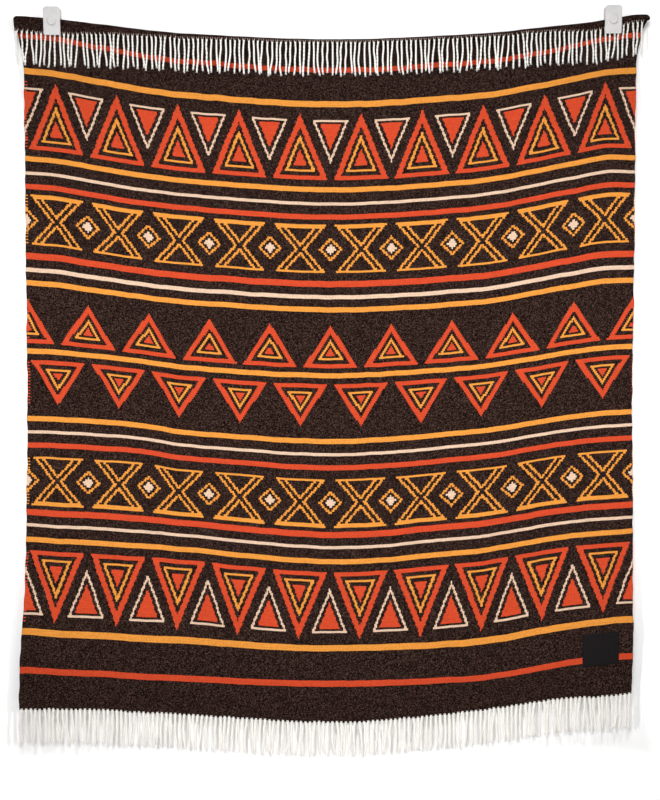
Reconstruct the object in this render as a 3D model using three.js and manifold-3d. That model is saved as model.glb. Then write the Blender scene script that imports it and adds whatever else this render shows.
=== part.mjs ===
// A fringed blanket hung from two clips: one woven sheet with its top end turned over to the front, a fringe
// along each end, a patch sewn on near the lower right corner, and two flat plastic clips.
// Millimetres, +Z up. The front faces -Y, the wall is the plane y = 0, and the origin lies on it midway
// between the clips.
import * as THREE from "three";
import { mergeVertices } from "three/addons/utils/BufferGeometryUtils.js";
import Module from "manifold-3d";

const wasm = await Module();
wasm.setup();

// Cloth
const CLOTH_THICKNESS = 2.5;
const CLOTH_COLUMNS = 44;
const FLAP_ROWS = 2;
const ROLL_ROWS = 5;
const BODY_ROWS = 22;

// Clips: each is a back plate, a hinge block above the cloth, a front plate and a round boss
const CLIP_SPACING = 1168;
const CLIP_WIDTH = 35;
const CLIP_HEIGHT = 58;
const CLIP_CORNER = { top: 7, bottom: 2.5 };
const PLATE_THICKNESS = 3;
const JAW_TILT = THREE.MathUtils.degToRad(10);
const HINGE_WIDTH = 24;
const HINGE_HEIGHT = 12;
const HINGE_TOP = 24;
const HINGE_CORNER = { top: 3, bottom: 3 };
const BUTTON_DIAMETER = 18;
const BUTTON_THICKNESS = 2;
const BEVEL = 0.6;
const CORNER_SEGMENTS = 3;
const BOSS_SEGMENTS = 10;
const CLIPS = [
  { side: "left", x: -CLIP_SPACING / 2, z: -1 },
  { side: "right", x: CLIP_SPACING / 2, z: 2 },
];

// Fringe: strands that lean together in pairs, each row rooted in a narrow strip past the cloth's end
const STRANDS = 136;
const STRAND_LENGTH = 71;
const STRAND_LENGTH_SPREAD = 4;
const STRAND_WIDTH = 3.4;
const STRAND_TIP = 2.6;
const STRAND_ROOT = { width: 3.2, depth: 1.4, inside: 1 };
const STRAND_PAIR_LEAN = 1.4;
const STRAND_WANDER = 0.8;
const STRAND_ROWS = 2;
const STRIP_HEIGHT = 2.5;
const STRIP_THICKNESS = 2;

// Gaps between pieces, and the depths of the two layers of cloth that a clip holds
const GAP = 0.5;
const CLOTH_GAP = 0.7;
const CLIPPED_STANDOFF = PLATE_THICKNESS + CLOTH_GAP + CLOTH_THICKNESS / 2;
const CLIPPED_ROLL = 1.75;
const JAW_BACK = CLIPPED_STANDOFF + 2 * CLIPPED_ROLL + CLOTH_THICKNESS / 2 + GAP;

// Patch
const PATCH = { x: 556, down: 1320, width: 75, height: 66, thickness: 1.2, cells: 5 };

// How high seven woven lines hang at nine places across the cloth: the left edge, clip, shoulder and quarter,
// the middle, and the right quarter, shoulder, clip and edge. down is each line's distance below the top fold
// along the middle of the cloth.
const PLACES = [-640, -584, -417, -297, 0, 297, 494, 584, 630];
// line, down, heights at the places
const LINES = [
  ["fold", 0, [8, 4, -19, -30, -41, -30, -10, 4, 12]],
  ["first", 228, [-204, -209, -236, -251, -269, -251, -217, -203, -203]],
  ["second", 619, [-605, -609, -630, -644, -660, -644, -612, -600, -599]],
  ["third", 790, [-782, -784, -796, -814, -831, -811, -781, -771, -770]],
  ["fourth", 1179, [-1176, -1179, -1190, -1196, -1220, -1199, -1168, -1159, -1155]],
  ["fifth", 1337, [-1349, -1352, -1362, -1369, -1378, -1368, -1334, -1322, -1320]],
  ["hem", 1419, [-1433, -1432, -1438, -1446, -1460, -1438, -1409, -1404, -1398]],
].map(([name, down, heights]) => ({ name, down, heights }));
const HEM_DOWN = LINES.at(-1).down;

// Where the two side edges of the hanging part run, and where the flap's lower corners lie.
// down, left edge, right edge
const EDGES = [
  [0, -664, 660],
  [20, -660, 650],
  [50, -652, 641],
  [120, -643, 632],
  [620, -635, 624],
  [790, -633, 621],
  [1180, -638, 623],
  [1337, -648, 623],
  [1419, -650, 620],
].map(([down, left, right]) => ({ down, left, right }));
const FLAP_CORNERS = { left: -661, right: 650 };

// The turned-over end: how far its fringe starts below the top of the fold, and the radius of the roll.
// place, x, overlap, roll
const FLAP = [
  ["left end", -664, 31, 3.5],
  ["left clip, outside", -618, 32, CLIPPED_ROLL],
  ["left clip, inside", -548, 29, CLIPPED_ROLL],
  ["left shoulder", -484, 21, 4.5],
  ["left quarter", -349, 12, 4.5],
  ["middle", -5, 6.5, 2.8],
  ["right quarter", 348, 8.5, 4],
  ["right shoulder", 473, 13, 4.5],
  ["right clip, inside", 548, 19, CLIPPED_ROLL],
  ["right clip, outside", 618, 17, CLIPPED_ROLL],
  ["right end", 660, 15, 3],
].map(([place, x, overlap, roll]) => ({ place, x, overlap, roll }));

// Soft ridges that stand towards the viewer. Each runs from its top to its bottom point and fades at both;
// one whose bottom lies below the hem still stands there.
// fold, top x, top down, bottom x, bottom down, half width, height
const RIDGES = [
  ["under the left clip", -584, 60, -540, 1900, 75, 13],
  ["under the right clip", 584, 60, 565, 1900, 70, 12],
  ["middle swell", -30, 40, 25, 1900, 230, 9],
  ["left slant", -440, 430, -150, 1400, 95, 15],
  ["right slant", 480, 470, 190, 1400, 90, 13],
  ["left hem ripple", -405, 1080, -390, 1760, 55, 9],
  ["left hem corner", -650, 1060, -655, 1760, 50, 9],
  ["right hem ripple", 455, 1120, 470, 1740, 60, 9],
].map(([name, topX, topDown, bottomX, bottomDown, halfWidth, height]) => {
  return { name, topX, topDown, bottomX, bottomDown, halfWidth, height };
});
const RIDGE_FADE_IN = 0.3;
const RIDGE_FADE_OUT = 0.78;
const LOOSE_STANDOFF = 6;
// A clip holds the cloth flat this far around it, and beyond that it comes loose by degrees.
const HELD_ACROSS = { from: 34, to: 150 };
const HELD_DOWN = { from: 60, to: 260 };

const LEAST_FLAP = 0.6;

// The two ends of the cloth, as along values of clothPoint
const FLAP_END = 0;
const HEM = 3;

const COLOURS = {
  cloth: 0x32231f,
  fringe: 0xe9e1d6,
  patch: 0x17181c,
  clip: 0xd8d6d5,
};

// A smooth curve through the points (xs[i], ys[i]) that never swings past them.
function smoothThrough(xs, ys, x) {
  const last = xs.length - 1;
  if (x <= xs[0]) return ys[0];
  if (x >= xs[last]) return ys[last];
  const i = xs.findIndex((edge) => edge > x) - 1;
  const slope = (k) => (ys[k + 1] - ys[k]) / (xs[k + 1] - xs[k]);
  const tangent = (k) => {
    if (k === 0) return slope(0);
    if (k === last) return slope(last - 1);
    const before = slope(k - 1);
    const after = slope(k);
    return before * after <= 0 ? 0 : (2 * before * after) / (before + after);
  };
  const span = xs[i + 1] - xs[i];
  const t = (x - xs[i]) / span;
  const start = ys[i] * (1 + 2 * t) * (1 - t) ** 2 + span * tangent(i) * t * (1 - t) ** 2;
  const end = ys[i + 1] * t * t * (3 - 2 * t) + span * tangent(i + 1) * t * t * (t - 1);
  return start + end;
}

// A table's column named value, at a place x along its column named key.
function fromTable(rows, key, value, x) {
  const xs = rows.map((row) => row[key]);
  const ys = rows.map((row) => row[value]);
  return smoothThrough(xs, ys, x);
}

const leftEdge = (down) => fromTable(EDGES, "down", "left", down);
const rightEdge = (down) => fromTable(EDGES, "down", "right", down);

// Height of the cloth at x, a distance down below the top fold.
function clothHeight(x, down) {
  const downs = LINES.map((line) => line.down);
  const heights = LINES.map((line) => smoothThrough(PLACES, line.heights, x));
  return smoothThrough(downs, heights, down);
}

function ridgeHeight(ridge, x, down) {
  const along = (down - ridge.topDown) / (ridge.bottomDown - ridge.topDown);
  const centre = THREE.MathUtils.lerp(ridge.topX, ridge.bottomX, along);
  const off = (x - centre) / ridge.halfWidth;
  const fadeIn = THREE.MathUtils.smoothstep(along, 0, RIDGE_FADE_IN);
  const fadeOut = 1 - THREE.MathUtils.smoothstep(along, RIDGE_FADE_OUT, 1);
  return ridge.height * Math.exp(-off * off) * fadeIn * fadeOut;
}

// How far the middle of the cloth's thickness stands off the wall.
function standoff(x, down) {
  const looseAcross = Math.min(
    ...CLIPS.map((clip) => {
      return THREE.MathUtils.smoothstep(Math.abs(x - clip.x), HELD_ACROSS.from, HELD_ACROSS.to);
    }),
  );
  const looseDown = THREE.MathUtils.smoothstep(down, HELD_DOWN.from, HELD_DOWN.to);
  const loose = 1 - (1 - looseAcross) * (1 - looseDown);
  const ridges = RIDGES.reduce((sum, ridge) => sum + ridgeHeight(ridge, x, down), 0);
  return CLIPPED_STANDOFF + loose * (LOOSE_STANDOFF + ridges);
}

// A point of the cloth's middle surface. across runs from 0 at the left edge to 1 at the right one.
// along runs from 0 at the end of the flap through 1 and 2, where the roll starts and ends, to 3 at the hem.
function clothPoint(across, along) {
  const bodyShare = Math.max(along - 2, 0);
  const flapShare = Math.max(1 - along, 0);
  const left = THREE.MathUtils.lerp(leftEdge(bodyShare * HEM_DOWN), FLAP_CORNERS.left, flapShare);
  const right = THREE.MathUtils.lerp(rightEdge(bodyShare * HEM_DOWN), FLAP_CORNERS.right, flapShare);
  const x = THREE.MathUtils.lerp(left, right, across);
  const roll = fromTable(FLAP, "x", "roll", x);
  if (along >= 2) {
    const down = THREE.MathUtils.lerp(roll, HEM_DOWN, bodyShare);
    return new THREE.Vector3(x, -standoff(x, down), clothHeight(x, down));
  }
  const centreY = -standoff(x, roll) - roll;
  const centreZ = clothHeight(x, roll);
  if (along >= 1) {
    const turn = Math.PI * (2 - along);
    return new THREE.Vector3(x, centreY + roll * Math.cos(turn), centreZ + roll * Math.sin(turn));
  }
  const overlap = fromTable(FLAP, "x", "overlap", x) - GAP - STRIP_HEIGHT;
  const flap = Math.max(overlap - roll, LEAST_FLAP);
  return new THREE.Vector3(x, centreY - roll, centreZ - flap * flapShare);
}

// The cloth's face normal, pointing to its back: towards the wall on the hanging part.
function clothNormal(across, along) {
  const step = 1e-3;
  const towardsRight = clothPoint(Math.min(across + step, 1), along);
  const towardsHem = clothPoint(across, Math.min(along + step, HEM));
  towardsRight.sub(clothPoint(Math.max(across - step, 0), along));
  towardsHem.sub(clothPoint(across, Math.max(along - step, FLAP_END)));
  return towardsRight.cross(towardsHem).normalize();
}

// A unit box cut into a grid and bent: place(x, y, z) gives each point's place, with x, y and z from 0 to 1.
function bentBox(columns, layers, rows, place) {
  const box = new THREE.BoxGeometry(1, 1, 1, columns, layers, rows);
  box.deleteAttribute("normal");
  box.deleteAttribute("uv");
  const geometry = mergeVertices(box);
  const points = geometry.attributes.position;
  for (let i = 0; i < points.count; i++) {
    const placed = place(points.getX(i) + 0.5, points.getY(i) + 0.5, points.getZ(i) + 0.5);
    points.setXYZ(i, placed.x, placed.y, placed.z);
  }
  return geometry;
}

// The row number counted from the end of the flap, as the along value of clothPoint.
function alongOfRow(row) {
  if (row <= FLAP_ROWS) return row / FLAP_ROWS;
  if (row <= FLAP_ROWS + ROLL_ROWS) return 1 + (row - FLAP_ROWS) / ROLL_ROWS;
  return 2 + (row - FLAP_ROWS - ROLL_ROWS) / BODY_ROWS;
}

function blanketGeometry() {
  const rows = FLAP_ROWS + ROLL_ROWS + BODY_ROWS;
  return bentBox(CLOTH_COLUMNS, 1, rows, (x, y, z) => {
    const along = alongOfRow(Math.round((1 - z) * rows));
    const offset = (y - 0.5) * CLOTH_THICKNESS;
    return clothPoint(x, along).addScaledVector(clothNormal(x, along), offset);
  });
}

// The across and along values of the cloth at x, a distance down below the fold.
function clothPlace(x, down) {
  const left = leftEdge(down);
  const across = (x - left) / (rightEdge(down) - left);
  return { across, along: 2 + down / HEM_DOWN };
}

function patchGeometry() {
  return bentBox(PATCH.cells, 1, PATCH.cells, (x, y, z) => {
    const patchX = PATCH.x + (x - 0.5) * PATCH.width;
    const patchDown = PATCH.down + (0.5 - z) * PATCH.height;
    const { across, along } = clothPlace(patchX, patchDown);
    const offset = CLOTH_THICKNESS / 2 + CLOTH_GAP + (1 - y) * PATCH.thickness;
    return clothPoint(across, along).addScaledVector(clothNormal(across, along), -offset);
  });
}

const solidOf = (geometry) => {
  return new wasm.Manifold(
    new wasm.Mesh({
      numProp: 3,
      vertProperties: geometry.attributes.position.array,
      triVerts: new Uint32Array(geometry.index.array),
    }),
  );
};

function geometryOf(solid) {
  const mesh = solid.getMesh();
  return new THREE.BufferGeometry()
    .setAttribute("position", new THREE.BufferAttribute(mesh.vertProperties, 3))
    .setIndex(new THREE.BufferAttribute(mesh.triVerts, 1));
}

// An even spread of values from -1 to 1 without a visible order, the same ones each time.
const GOLDEN = (1 + Math.sqrt(5)) / 2;
const scatter = (index, step) => 2 * (((index + 1) * step) % 1) - 1;

// One strand under root, a point at the lower edge of the strip. restY gives the depth at which a strand
// comes to lie at a place x, z, or the root's own depth where it hangs free.
function strandGeometry(root, index, restY) {
  const length = STRAND_LENGTH - STRIP_HEIGHT + STRAND_LENGTH_SPREAD * scatter(index, GOLDEN);
  const lean = (index % 2 ? -1 : 1) * STRAND_PAIR_LEAN;
  const middleBend = STRAND_WANDER * scatter(index, Math.SQRT2);
  const tipBend = lean + STRAND_WANDER * scatter(index, Math.sqrt(3));
  const bends = [0, middleBend, tipBend];
  const widths = [STRAND_ROOT.width, STRAND_WIDTH, STRAND_TIP];
  const depths = [STRAND_ROOT.depth, STRAND_WIDTH, STRAND_TIP];
  return bentBox(1, 1, STRAND_ROWS, (x, y, z) => {
    const ring = Math.round((1 - z) * STRAND_ROWS);
    const centreX = root.x + bends[ring];
    const centreZ = ring ? root.z - (length * ring) / STRAND_ROWS : root.z + STRAND_ROOT.inside;
    const centreY = ring ? Math.min(root.y, restY(centreX, centreZ)) : root.y;
    return new THREE.Vector3(centreX + (x - 0.5) * widths[ring], centreY + (y - 0.5) * depths[ring], centreZ);
  });
}

// A point of the cloth's end at along, on the straight stretch between the two nearest columns of the sheet.
function endPoint(across, along) {
  const before = Math.min(Math.floor(across * CLOTH_COLUMNS), CLOTH_COLUMNS - 1);
  const start = clothPoint(before / CLOTH_COLUMNS, along);
  const end = clothPoint((before + 1) / CLOTH_COLUMNS, along);
  return start.lerp(end, across * CLOTH_COLUMNS - before);
}

// A strip just past the cloth's end at along, with the strands that hang from it.
function fringeGeometry(along, restY) {
  const stripAt = (across, share) => {
    const end = endPoint(across, along);
    return end.setZ(end.z - GAP - STRIP_HEIGHT * share);
  };
  const strip = bentBox(CLOTH_COLUMNS, 1, 1, (x, y, z) => {
    const point = stripAt(x, 1 - z);
    return point.setY(point.y + (y - 0.5) * STRIP_THICKNESS);
  });
  let solid = solidOf(strip);
  for (let i = 0; i < STRANDS; i++) {
    const root = stripAt((i + 0.5) / STRANDS, 1);
    solid = solid.add(solidOf(strandGeometry(root, i, restY)));
  }
  return geometryOf(solid);
}

// Strands of the turned-over end lie against the cloth behind them.
function restOnCloth(x, z) {
  const down = clothHeight(x, 0) - z;
  return -standoff(x, down) - CLOTH_THICKNESS / 2 - CLOTH_GAP - STRAND_WIDTH / 2;
}

function roundedPlate(width, height, corner, thickness) {
  const w = width / 2 - BEVEL;
  const h = height / 2 - BEVEL;
  const top = corner.top - BEVEL;
  const bottom = corner.bottom - BEVEL;
  const shape = new THREE.Shape()
    .moveTo(-w + bottom, -h)
    .lineTo(w - bottom, -h)
    .absarc(w - bottom, -h + bottom, bottom, -Math.PI / 2, 0)
    .lineTo(w, h - top)
    .absarc(w - top, h - top, top, 0, Math.PI / 2)
    .lineTo(-w + top, h)
    .absarc(-w + top, h - top, top, Math.PI / 2, Math.PI)
    .lineTo(-w, -h + bottom)
    .absarc(-w + bottom, -h + bottom, bottom, Math.PI, 1.5 * Math.PI);
  return upright(shape, thickness, CORNER_SEGMENTS);
}

function roundBoss(diameter, thickness) {
  const shape = new THREE.Shape().absarc(0, 0, diameter / 2 - BEVEL, 0, 2 * Math.PI);
  return upright(shape, thickness, BOSS_SEGMENTS);
}

// An outline in x and z given a thickness, with its back face at y = 0 and its front face at y = -thickness.
function upright(shape, thickness, curveSegments) {
  const geometry = new THREE.ExtrudeGeometry(shape, {
    depth: thickness - 2 * BEVEL,
    bevelThickness: BEVEL,
    bevelSize: BEVEL,
    bevelSegments: 1,
    curveSegments,
  });
  geometry.translate(0, 0, BEVEL);
  geometry.rotateX(Math.PI / 2);
  return geometry;
}

const material = (color, roughness) => new THREE.MeshStandardMaterial({ color, roughness, metalness: 0 });
const clothMaterial = material(COLOURS.cloth, 0.95);
const fringeMaterial = material(COLOURS.fringe, 0.9);
const patchMaterial = material(COLOURS.patch, 0.85);
const clipMaterial = material(COLOURS.clip, 0.45);

function named(name, geometry, finish, x = 0, y = 0, z = 0) {
  const mesh = new THREE.Mesh(geometry, finish);
  mesh.name = name;
  mesh.position.set(x, y, z);
  return mesh;
}

// The front plate presses on the cloth with its lower end and leans away from the wall towards its top.
function clip(side, x, z) {
  const plate = () => roundedPlate(CLIP_WIDTH, CLIP_HEIGHT, CLIP_CORNER, PLATE_THICKNESS);
  const hingeUp = HINGE_TOP - HINGE_HEIGHT + CLIP_HEIGHT / 2;
  const hingeDepth = JAW_BACK + hingeUp * Math.tan(JAW_TILT) - PLATE_THICKNESS - 2 * GAP;
  const hinge = roundedPlate(HINGE_WIDTH, HINGE_HEIGHT, HINGE_CORNER, hingeDepth);
  const button = roundBoss(BUTTON_DIAMETER, BUTTON_THICKNESS);
  const hingeZ = HINGE_TOP - HINGE_HEIGHT / 2;
  const front = new THREE.Group();
  front.position.set(0, -JAW_BACK, -CLIP_HEIGHT / 2);
  front.rotation.x = JAW_TILT;
  front.add(named(`clip_${side}_jaw`, plate(), clipMaterial, 0, 0, CLIP_HEIGHT / 2));
  front.add(named(`clip_${side}_button`, button, clipMaterial, 0, -PLATE_THICKNESS - GAP, CLIP_HEIGHT / 2));
  const group = new THREE.Group();
  group.position.set(x, 0, z);
  group.add(named(`clip_${side}_base`, plate(), clipMaterial));
  group.add(named(`clip_${side}_hinge`, hinge, clipMaterial, 0, -PLATE_THICKNESS - GAP, hingeZ));
  group.add(front);
  return group;
}

const part = new THREE.Group();
part.add(named("blanket", blanketGeometry(), clothMaterial));
part.add(named("fringe_top", fringeGeometry(FLAP_END, restOnCloth), fringeMaterial));
part.add(named("fringe_bottom", fringeGeometry(HEM, () => 0), fringeMaterial));
part.add(named("sewn_patch", patchGeometry(), patchMaterial));
for (const { side, x, z } of CLIPS) {
  part.add(clip(side, x, z));
}

export default part;
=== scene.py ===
"""A fringed blanket hung from two clips: the woven cloth with its folds and banded pattern, a twisted fringe
along each end, a patch sewn on near the lower right corner, and two flat plastic clips.

Shapes are worked out in millimetres and stored in metres. Stage, light and camera are in metres. The front
faces -Y and the wall is the plane y = 0.
"""

import math

import bpy
import numpy as np
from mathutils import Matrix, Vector


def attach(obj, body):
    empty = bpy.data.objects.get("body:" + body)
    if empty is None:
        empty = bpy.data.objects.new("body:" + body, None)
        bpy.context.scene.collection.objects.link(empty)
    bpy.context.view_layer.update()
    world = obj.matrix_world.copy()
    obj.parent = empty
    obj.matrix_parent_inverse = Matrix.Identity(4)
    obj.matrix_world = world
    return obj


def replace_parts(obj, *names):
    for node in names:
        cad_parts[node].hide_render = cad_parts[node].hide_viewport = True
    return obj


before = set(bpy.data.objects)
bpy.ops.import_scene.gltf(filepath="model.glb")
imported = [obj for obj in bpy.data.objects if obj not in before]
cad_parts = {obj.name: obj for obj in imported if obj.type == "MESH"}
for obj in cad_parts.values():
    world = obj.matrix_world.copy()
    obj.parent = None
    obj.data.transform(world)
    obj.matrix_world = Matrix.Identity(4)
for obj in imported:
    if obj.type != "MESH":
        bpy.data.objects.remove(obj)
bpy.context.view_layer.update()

MM = 0.001

# Cloth: its mesh is finest along the side edges, and a rim bulges out all round it
CLOTH_WIDTH = 1270
CLOTH_LENGTH = 1431
CLOTH_THICKNESS = 2.5
CLOTH_COLUMNS = 165
FLAP_ROWS = 8
ROLL_ROWS = 14
BODY_ROWS = 186
EDGE_COLUMNS = [0, 0.8, 2, 3.6, 5.6, 8.5]
RIM_BULGE = 0.9
RIM_SHARE = 0.75
TOP_CORNER = 7
TOP_CORNER_FADE = (6, 34)

# Clips: front plates that lean outwards, with larger corners at the top than at the bottom
CLIP_SPACING = 1168
CLIP_WIDTH = 35
CLIP_HEIGHT = 58
CLIP_PLATE = 3
CLIP_CORNERS = (7, 2.5)
CLIP_FILLET = 0.9
FLAT_INSET = 1.4 * CLIP_FILLET
LEAST_CORNER = 0.1
CORNER_STEPS = 7
FILLET_STEPS = 4
JAW_TILT = math.radians(10)
# side, x, z
CLIPS = [("left", -CLIP_SPACING / 2, -1), ("right", CLIP_SPACING / 2, 2)]
# The round boss on a jaw, from its foot to its middle
# radius, height
BOSS = [
    (10.2, -0.2),
    (9.6, 0.1),
    (9.15, 0.7),
    (9, 1.5),
    (8.6, 2.1),
    (7.8, 2.45),
    (6.8, 2.5),
    (4, 2.2),
    (0.3, 2),
]
BOSS_SIDES = 40
GAP = 0.5
CLOTH_GAP = 0.7
CLIPPED_STANDOFF = CLIP_PLATE + CLOTH_GAP + CLOTH_THICKNESS / 2
CLIPPED_ROLL = 1.75
JAW_BACK = CLIPPED_STANDOFF + 2 * CLIPPED_ROLL + CLOTH_THICKNESS / 2 + GAP

# Fringe: two plies are twisted together in each strand
STRANDS = 136
STRAND_LENGTH_SPREAD = 4
STRAND_LEAN = 3.4
STRAND_BEND = 1.5
STRAND_SPREAD = 2
LEAN_POWER = 1.4
STRAND_KINK = 0.6
KINK_TURNS = (0.7, 2.2)
KINK_START = 0.25
GOLDEN = (1 + math.sqrt(5)) / 2
STRAND_SPACE = 3.7
ROOT_REACH = 0.7
STRAND_RINGS = 42
PLIES = 2
PLY_SIDES = 5
PLY_RADIUS = 1.2
PLY_OFFSET = 0.98
TWIST_LENGTH = 13
TWIST_RANGE = (0.8, 1.25)
ROOT_SHARE = 0.08
TIP_SHARE = 0.1
TIP_SPREAD = 1.7
TIP_SCALE = 0.4

# The roots reach above the cloth's end, where the plies have their own thickness, spread and tint
# along the cloth, seed, length, thickness, reach of the roots, their thickness, spread and tint
FRINGES = {
    "top": (0, 21, 68, 1.0, 4.5, 0.42, 2.6, 1.0),
    "bottom": (3, 31, 71, 1.3, 2.5, 0.75, 0.95, 0.12),
}

# Patch: its middle, its size, the thin edge that rises to its thickness, and the seam with its stitches
PATCH_X = 556
PATCH_DOWN = 1320
PATCH_WIDTH = 75
PATCH_HEIGHT = 66
PATCH_THICKNESS = 1.2
PATCH_CELLS = 30
PATCH_SUNK = 0.4
PATCH_EDGE = 2.2
PATCH_RIM = 0.35
SEAM_DEPTH = 0.45
SEAM_WIDTH = 1.2
STITCH_INSET = 3.2
STITCH_LENGTH = 3.2
STITCH_PITCH = 4.6
STITCH_RADIUS = 0.36
# Thickness along a stitch
STITCH_TAPER = [0.6, 1, 1, 1, 0.6]
STITCH_RINGS = len(STITCH_TAPER)

# How high seven woven lines hang at nine places across the cloth, and each line's distance below the top fold
PLACES = [-640, -584, -417, -297, 0, 297, 494, 584, 630]
# down, heights at the places
LINES = [
    (0, [8, 4, -19, -30, -41, -30, -10, 4, 12]),
    (228, [-204, -209, -236, -251, -269, -251, -217, -203, -203]),
    (619, [-605, -609, -630, -644, -660, -644, -612, -600, -599]),
    (790, [-782, -784, -796, -814, -831, -811, -781, -771, -770]),
    (1179, [-1176, -1179, -1190, -1196, -1220, -1199, -1168, -1159, -1155]),
    (1337, [-1349, -1352, -1362, -1369, -1378, -1368, -1334, -1322, -1320]),
    (1419, [-1433, -1432, -1438, -1446, -1460, -1438, -1409, -1404, -1398]),
]
FIRST_DOWN = LINES[1][0]
HEM_DOWN = LINES[-1][0]
HEM_WOVEN = CLOTH_LENGTH - HEM_DOWN

# Where the two side edges of the hanging part run, and where the flap's lower corners lie
# down, left edge, right edge
EDGES = [
    (0, -664, 660),
    (20, -660, 650),
    (50, -652, 641),
    (120, -643, 632),
    (620, -635, 624),
    (790, -633, 621),
    (1180, -638, 623),
    (1337, -648, 623),
    (1419, -650, 620),
]
FLAP_LEFT = -661
FLAP_RIGHT = 650

# The turned-over end: its reach below the fold's top, the radius of its roll, and the cloth tucked into it
# x, overlap, roll, tucked
FLAP = [
    (-664, 31, 3.5, 0),
    (-618, 32, CLIPPED_ROLL, 0),
    (-548, 29, CLIPPED_ROLL, 0),
    (-484, 21, 4.5, 0),
    (-349, 12, 4.5, 0),
    (-5, 6.5, 2.8, 0),
    (348, 8.5, 4, 2),
    (473, 13, 4.5, 6),
    (548, 19, CLIPPED_ROLL, 11),
    (618, 17, CLIPPED_ROLL, 14),
    (660, 15, 3, 14),
]
LEAST_FLAP = 0.6

# Soft ridges that stand towards the viewer
# top x, top down, bottom x, bottom down, half width, height
RIDGES = [
    (-584, 60, -540, 1900, 75, 13),
    (584, 60, 565, 1900, 70, 12),
    (-30, 40, 25, 1900, 230, 9),
    (-440, 430, -150, 1400, 95, 15),
    (480, 470, 190, 1400, 90, 13),
    (-405, 1080, -390, 1760, 55, 9),
    (-650, 1060, -655, 1760, 50, 9),
    (455, 1120, 470, 1740, 60, 9),
]
RIDGE_FADE_IN = 0.3
RIDGE_FADE_OUT = 0.78
LOOSE_STANDOFF = 6
HELD_ACROSS = (34, 150)
HELD_DOWN = (60, 260)

# Small unevenness of the cloth: wave lengths across and down, and heights
SWELL_ACROSS = (410, 236, 147)
SWELL_DOWN = (530, 310, 190)
SWELL = 1.1
HEM_RIPPLE_SPANS = (118, 71, 46)
HEM_RIPPLE = 1.5
HEM_RIPPLE_REACH = 80
EDGE_CURL_SPANS = (270, 140, 83)
EDGE_CURL = 2.2
EDGE_CURL_REACH = 14
EDGE_WANDER_SPANS = (160, 61, 37)
EDGE_WANDER = 0.7
ROLL_WANDER_SPANS = (210, 95, 58)
ROLL_WANDER = 0.22
# A seed for each wandering line
SEEDS = {
    "left edge": 1,
    "right edge": 2,
    "swell across": 3,
    "swell down": 4,
    "hem ripple": 5,
    "left curl": 6,
    "right curl": 7,
    "roll": 8,
    "hem": 9,
    "flap": 10,
}

# The woven pattern, by distance from its middle line towards either end
CELL_ACROSS = 2.6
CELL_ALONG = 2.1
FLECK = 0.68
PATTERN_STEP = 4.2
PATTERN_SHIFT = -5.5
PATTERN_MIDDLE = CLOTH_LENGTH / 2 + PATTERN_SHIFT
# colour, distance, half width
STRIPES = [
    ("orange", 638.5, 6),
    ("yellow", 566, 5.5),
    ("yellow", 386, 5.5),
    ("cream", 357, 3.6),
    ("orange", 330, 6),
    ("orange", 191, 6),
    ("cream", 163, 3.6),
    ("yellow", 136, 5.5),
    ("yellow", 0, 5.5),
]
REPEAT = CLOTH_WIDTH / 10
# Bands of nested triangles: base distance, height, half width of the base
OUTER_TRIANGLES = (405, 140, 57)
INNER_TRIANGLES = (15, 88, 57)
FILLED = 99
# The lines of a triangle, from its sides inwards, the last one filled to the middle
# colour, start, end
OUTER_LINES = [("orange", 0, 10.5), ("yellow", 17, 22), ("orange", 28.5, FILLED)]
TOOTH_LINES = [("cream", 13, 17), ("orange", 24, FILLED)]
INNER_LINES = [("orange", 0, 9.5), ("yellow", 16, 20.5), ("orange", 25.5, FILLED)]
GLASS_DISTANCE = 261
GLASS_HALF = 50
GLASS_WAIST = 8
GLASS_SLOPE = 0.86
GLASS_LINE = 2.9
GLASS_NEST = 15
DOT_REACH = 11
RING_REACH = 22
SELVEDGE = 3.6
SELVEDGE_TICK = 3

# Map of the cloth, from left to right: width of its front, places of its rim, width of its back
MAP_FRONT = 0.635
MAP_RIM = (0.637, 0.646, 0.658)
MAP_BACK = 0.34
# Map of the patch: width of each side, places of the rim between them
PATCH_MAP = 0.48
PATCH_MAP_RIM = (0.49, 0.51)
# Where a tube starts and ends in its own strip of the map
TUBE_MAP = (0.05, 0.95)
# Map of a jaw, its two faces side by side below its rim: their middles and size, and the foot of the rim
JAW_MAP_ACROSS = (0.25, 0.75)
JAW_MAP_UP = 0.42
JAW_MAP_SIZE = (0.45, 0.8)
JAW_MAP_RIM = 0.85

# Weave: noise scales across the cloth, along it and from side to side, and how far the woven lines waver
WAVER_SCALE = (0.02, 0.006, 1)
GRAIN_SCALE = (0.3, 0.42, 9)
STREAK_SCALE = (0.02, 0.45, 5)
WAVER = 4.0
# A yarn's brightness: shares of its fleck and of its grain or streak, and a constant
GROUND_LEVEL = (1.9, 0.3, -0.15)
DYED_LEVEL = (0.3, 0.4, 0.68)
# Light threads in the ground: share of the grain, range in which they set in, and strength
HEATHER_GRAIN = 0.4
HEATHER_RANGE = (0.9, 1.2)
HEATHER_SHARE = 0.5
# Relief of the weave and of the grain
WEAVE_RELIEF = 0.35
GRAIN_RELIEF = 0.9

# Layers of noise in coarse and in fine grain
NOISE_DETAIL = 2.0
FINE_DETAIL = 3.0

# Yarn: noise scale, and brightness as a share of the noise and a constant
FIBRE_SCALE = (900, 900, 160)
FIBRE_LEVEL = (0.3, 0.84)

# Twill: its slanting ribs, its grain, and the share of each in its shade
RIB_PITCH = 1.3
RIB_SLOPE = 1.6
RIB_SHARE = 0.2
TWILL_SCALE = (400, 400, 400)
TWILL_SHARE = 0.7

# Plastic: faint clouds, fine grain, and roughness as a share of the grain and a constant
CLOUD_SCALE = (60, 60, 60)
CLOUD_RANGE = (0.35, 0.75)
MOULD_SCALE = (1500, 1500, 1500)
PLASTIC_ROUGHNESS = (0.2, 0.4)

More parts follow.
